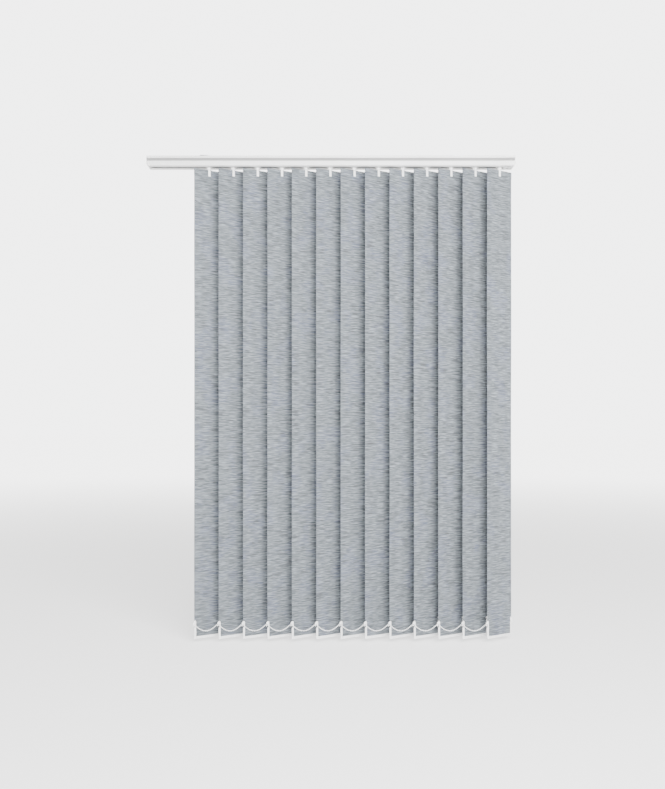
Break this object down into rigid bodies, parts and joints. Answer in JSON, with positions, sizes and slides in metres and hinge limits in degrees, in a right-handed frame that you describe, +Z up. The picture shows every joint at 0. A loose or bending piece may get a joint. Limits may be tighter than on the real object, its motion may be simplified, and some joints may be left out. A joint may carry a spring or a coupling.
{
  "type": "vertical blind",
  "caption": "Recess-fixed vertical blind: white headrail with a fluted tilt rod and sliding carriers, slub fabric louvres on hooks, white bottom weights joined by hanging chains.",
  "frame": {"origin": "middle of the ceiling face that the two brackets are screwed to", "axes": "+Z up, +X along the headrail towards the control end, -Y towards the room"},
  "size_m": [1.0356, 0.0512, 1.3578],
  "materials": {
    "rail_white": "satin white powder coat",
    "housing_white": "moulded white",
    "bracket_steel": "zinc plated spring steel",
    "rod_aluminium": "mill finish",
    "carrier_plastic": "acetal, natural",
    "hook_white": "moulded white acetal",
    "louvre_fabric": "blue-grey slub weave",
    "chain_white": "white moulded chain"
  },
  "bodies": {
    "rail": {"headrail": "rail_white", "control_housing": "housing_white", "idle_end_cap": "housing_white", "bracket_idle": "bracket_steel", "bracket_control": "bracket_steel", "rod_bush_idle": "carrier_plastic", "rod_bush_control": "carrier_plastic", "carrier_13": "carrier_plastic"},
    "tilt_drive": {"tilt_rod": "rod_aluminium", "chain_wheel": "housing_white"},
    "carrier_01_body": {"carrier_01": "carrier_plastic"},
    "carrier_02_body": {"carrier_02": "carrier_plastic"},
    "carrier_03_body": {"carrier_03": "carrier_plastic"},
    "carrier_04_body": {"carrier_04": "carrier_plastic"},
    "carrier_05_body": {"carrier_05": "carrier_plastic"},
    "carrier_06_body": {"carrier_06": "carrier_plastic"},
    "carrier_07_body": {"carrier_07": "carrier_plastic"},
    "carrier_08_body": {"carrier_08": "carrier_plastic"},
    "carrier_09_body": {"carrier_09": "carrier_plastic"},
    "carrier_10_body": {"carrier_10": "carrier_plastic"},
    "carrier_11_body": {"carrier_11": "carrier_plastic"},
    "carrier_12_body": {"carrier_12": "carrier_plastic"},
    "vane_01": {"hook_01": "hook_white", "louvre_01": "louvre_fabric"},
    "vane_02": {"hook_02": "hook_white", "louvre_02": "louvre_fabric"},
    "vane_03": {"hook_03": "hook_white", "louvre_03": "louvre_fabric"},
    "vane_04": {"hook_04": "hook_white", "louvre_04": "louvre_fabric"},
    "vane_05": {"hook_05": "hook_white", "louvre_05": "louvre_fabric"},
    "vane_06": {"hook_06": "hook_white", "louvre_06": "louvre_fabric"},
    "vane_07": {"hook_07": "hook_white", "louvre_07": "louvre_fabric"},
    "vane_08": {"hook_08": "hook_white", "louvre_08": "louvre_fabric"},
    "vane_09": {"hook_09": "hook_white", "louvre_09": "louvre_fabric"},
    "vane_10": {"hook_10": "hook_white", "louvre_10": "louvre_fabric"},
    "vane_11": {"hook_11": "hook_white", "louvre_11": "louvre_fabric"},
    "vane_12": {"hook_12": "hook_white", "louvre_12": "louvre_fabric"},
    "vane_13": {"hook_13": "hook_white", "louvre_13": "louvre_fabric"},
    "front_chain_body": {"front_chain": "chain_white"},
    "front_chain_lead": {"front_chain_end": "chain_white"},
    "guide_pulley_front_body": {"guide_pulley_front": "carrier_plastic"},
    "back_chain_body": {"back_chain": "chain_white"},
    "back_chain_lead": {"back_chain_end": "chain_white"},
    "guide_pulley_back_body": {"guide_pulley_back": "carrier_plastic"},
    "return_pulley_body": {"return_pulley": "carrier_plastic"}
  },
  "joints": [
    {"name": "vane_13_tilt", "type": "hinge", "parent": "rail", "child": "vane_13", "pos_m": [0.4759, 0, -0.02], "axis": [0, 0, 1], "range_deg": [-15, 135]},
    {"name": "carrier_01_traverse", "type": "slide", "parent": "rail", "child": "carrier_01_body", "axis": [1, 0, 0], "range_m": [-0.1322, 0.5796]},
    {"name": "vane_01_tilt", "type": "hinge", "parent": "carrier_01_body", "child": "vane_01", "pos_m": [-0.3437, 0, -0.02], "axis": [0, 0, 1], "range_deg": [-15, 135]},
    {"name": "carrier_02_traverse", "type": "slide", "parent": "rail", "child": "carrier_02_body", "axis": [1, 0, 0], "range_m": [-0.12118, 0.5313]},
    {"name": "vane_02_tilt", "type": "hinge", "parent": "carrier_02_body", "child": "vane_02", "pos_m": [-0.2754, 0, -0.02], "axis": [0, 0, 1], "range_deg": [-15, 135]},
    {"name": "carrier_03_traverse", "type": "slide", "parent": "rail", "child": "carrier_03_body", "axis": [1, 0, 0], "range_m": [-0.11017, 0.483]},
    {"name": "vane_03_tilt", "type": "hinge", "parent": "carrier_03_body", "child": "vane_03", "pos_m": [-0.2071, 0, -0.02], "axis": [0, 0, 1], "range_deg": [-15, 135]},
    {"name": "carrier_04_traverse", "type": "slide", "parent": "rail", "child": "carrier_04_body", "axis": [1, 0, 0], "range_m": [-0.09915, 0.4347]},
    {"name": "vane_04_tilt", "type": "hinge", "parent": "carrier_04_body", "child": "vane_04", "pos_m": [-0.1388, 0, -0.02], "axis": [0, 0, 1], "range_deg": [-15, 135]},
    {"name": "carrier_05_traverse", "type": "slide", "parent": "rail", "child": "carrier_05_body", "axis": [1, 0, 0], "range_m": [-0.08813, 0.3864]},
    {"name": "vane_05_tilt", "type": "hinge", "parent": "carrier_05_body", "child": "vane_05", "pos_m": [-0.0705, 0, -0.02], "axis": [0, 0, 1], "range_deg": [-15, 135]},
    {"name": "carrier_06_traverse", "type": "slide", "parent": "rail", "child": "carrier_06_body", "axis": [1, 0, 0], "range_m": [-0.07712, 0.3381]},
    {"name": "vane_06_tilt", "type": "hinge", "parent": "carrier_06_body", "child": "vane_06", "pos_m": [-0.0022, 0, -0.02], "axis": [0, 0, 1], "range_deg": [-15, 135]},
    {"name": "carrier_07_traverse", "type": "slide", "parent": "rail", "child": "carrier_07_body", "axis": [1, 0, 0], "range_m": [-0.0661, 0.2898]},
    {"name": "vane_07_tilt", "type": "hinge", "parent": "carrier_07_body", "child": "vane_07", "pos_m": [0.0661, 0, -0.02], "axis": [0, 0, 1], "range_deg": [-15, 135]},
    {"name": "carrier_08_traverse", "type": "slide", "parent": "rail", "child": "carrier_08_body", "axis": [1, 0, 0], "range_m": [-0.05508, 0.2415]},
    {"name": "vane_08_tilt", "type": "hinge", "parent": "carrier_08_body", "child": "vane_08", "pos_m": [0.1344, 0, -0.02], "axis": [0, 0, 1], "range_deg": [-15, 135]},
    {"name": "carrier_09_traverse", "type": "slide", "parent": "rail", "child": "carrier_09_body", "axis": [1, 0, 0], "range_m": [-0.04407, 0.1932]},
    {"name": "vane_09_tilt", "type": "hinge", "parent": "carrier_09_body", "child": "vane_09", "pos_m": [0.2027, 0, -0.02], "axis": [0, 0, 1], "range_deg": [-15, 135]},
    {"name": "carrier_10_traverse", "type": "slide", "parent": "rail", "child": "carrier_10_body", "axis": [1, 0, 0], "range_m": [-0.03305, 0.1449]},
    {"name": "vane_10_tilt", "type": "hinge", "parent": "carrier_10_body", "child": "vane_10", "pos_m": [0.271, 0, -0.02], "axis": [0, 0, 1], "range_deg": [-15, 135]},
    {"name": "carrier_11_traverse", "type": "slide", "parent": "rail", "child": "carrier_11_body", "axis": [1, 0, 0], "range_m": [-0.02203, 0.0966]},
    {"name": "vane_11_tilt", "type": "hinge", "parent": "carrier_11_body", "child": "vane_11", "pos_m": [0.3393, 0, -0.02], "axis": [0, 0, 1], "range_deg": [-15, 135]},
    {"name": "carrier_12_traverse", "type": "slide", "parent": "rail", "child": "carrier_12_body", "axis": [1, 0, 0], "range_m": [-0.01102, 0.0483]},
    {"name": "vane_12_tilt", "type": "hinge", "parent": "carrier_12_body", "child": "vane_12", "pos_m": [0.4076, 0, -0.02], "axis": [0, 0, 1], "range_deg": [-15, 135]},
    {"name": "tilt_rod_turn", "type": "hinge", "parent": "rail", "child": "tilt_drive", "pos_m": [0, 0, -0.0183], "axis": [1, 0, 0], "range_deg": [-45, 405]},
    {"name": "front_chain_swing", "type": "hinge", "parent": "vane_13", "child": "front_chain_body", "pos_m": [0.4352, -0.0235, -1.32], "axis": [0, 0, 1], "range_deg": [-135, 15]},
    {"name": "front_chain_gather", "type": "slide", "parent": "front_chain_body", "child": "front_chain_lead", "axis": [1, 0, 0], "range_m": [-0.1322, 0.5796], "deforming": ["front_chain"]},
    {"name": "back_chain_swing", "type": "hinge", "parent": "vane_13", "child": "back_chain_body", "pos_m": [0.5166, 0.0235, -1.32], "axis": [0, 0, 1], "range_deg": [-135, 15]},
    {"name": "back_chain_gather", "type": "slide", "parent": "back_chain_body", "child": "back_chain_lead", "axis": [1, 0, 0], "range_m": [-0.1322, 0.5796], "deforming": ["back_chain"]},
    {"name": "guide_pulley_front_turn", "type": "hinge", "parent": "rail", "child": "guide_pulley_front_body", "pos_m": [0.505, -0.0124, -0.016], "axis": [0, 1, 0], "continuous": true},
    {"name": "guide_pulley_back_turn", "type": "hinge", "parent": "rail", "child": "guide_pulley_back_body", "pos_m": [0.505, 0.0124, -0.016], "axis": [0, 1, 0], "continuous": true},
    {"name": "return_pulley_turn", "type": "hinge", "parent": "rail", "child": "return_pulley_body", "pos_m": [-0.4936, 0, -0.0099], "axis": [0, 0, 1], "continuous": true}
  ],
  "couplings": [
    {"joint": "vane_01_tilt", "follows": "vane_13_tilt", "ratio": 1},
    {"joint": "carrier_02_traverse", "follows": "carrier_01_traverse", "ratio": 0.91667},
    {"joint": "vane_02_tilt", "follows": "vane_13_tilt", "ratio": 1},
    {"joint": "carrier_03_traverse", "follows": "carrier_01_traverse", "ratio": 0.83333},
    {"joint": "vane_03_tilt", "follows": "vane_13_tilt", "ratio": 1},
    {"joint": "carrier_04_traverse", "follows": "carrier_01_traverse", "ratio": 0.75},
    {"joint": "vane_04_tilt", "follows": "vane_13_tilt", "ratio": 1},
    {"joint": "carrier_05_traverse", "follows": "carrier_01_traverse", "ratio": 0.66667},
    {"joint": "vane_05_tilt", "follows": "vane_13_tilt", "ratio": 1},
    {"joint": "carrier_06_traverse", "follows": "carrier_01_traverse", "ratio": 0.58333},
    {"joint": "vane_06_tilt", "follows": "vane_13_tilt", "ratio": 1},
    {"joint": "carrier_07_traverse", "follows": "carrier_01_traverse", "ratio": 0.5},
    {"joint": "vane_07_tilt", "follows": "vane_13_tilt", "ratio": 1},
    {"joint": "carrier_08_traverse", "follows": "carrier_01_traverse", "ratio": 0.41667},
    {"joint": "vane_08_tilt", "follows": "vane_13_tilt", "ratio": 1},
    {"joint": "carrier_09_traverse", "follows": "carrier_01_traverse", "ratio": 0.33333},
    {"joint": "vane_09_tilt", "follows": "vane_13_tilt", "ratio": 1},
    {"joint": "carrier_10_traverse", "follows": "carrier_01_traverse", "ratio": 0.25},
    {"joint": "vane_10_tilt", "follows": "vane_13_tilt", "ratio": 1},
    {"joint": "carrier_11_traverse", "follows": "carrier_01_traverse", "ratio": 0.16667},
    {"joint": "vane_11_tilt", "follows": "vane_13_tilt", "ratio": 1},
    {"joint": "carrier_12_traverse", "follows": "carrier_01_traverse", "ratio": 0.083333},
    {"joint": "vane_12_tilt", "follows": "vane_13_tilt", "ratio": 1},
    {"joint": "tilt_rod_turn", "follows": "vane_13_tilt", "ratio": 3},
    {"joint": "front_chain_swing", "follows": "vane_13_tilt", "ratio": -1},
    {"joint": "front_chain_gather", "follows": "carrier_01_traverse", "ratio": 1},
    {"joint": "back_chain_swing", "follows": "vane_13_tilt", "ratio": -1},
    {"joint": "back_chain_gather", "follows": "carrier_01_traverse", "ratio": 1},
    {"joint": "guide_pulley_front_turn", "follows": "carrier_01_traverse", "rad_per_m": 222.22},
    {"joint": "guide_pulley_back_turn", "follows": "carrier_01_traverse", "rad_per_m": -222.22},
    {"joint": "return_pulley_turn", "follows": "carrier_01_traverse", "rad_per_m": 95.238}
  ]
}
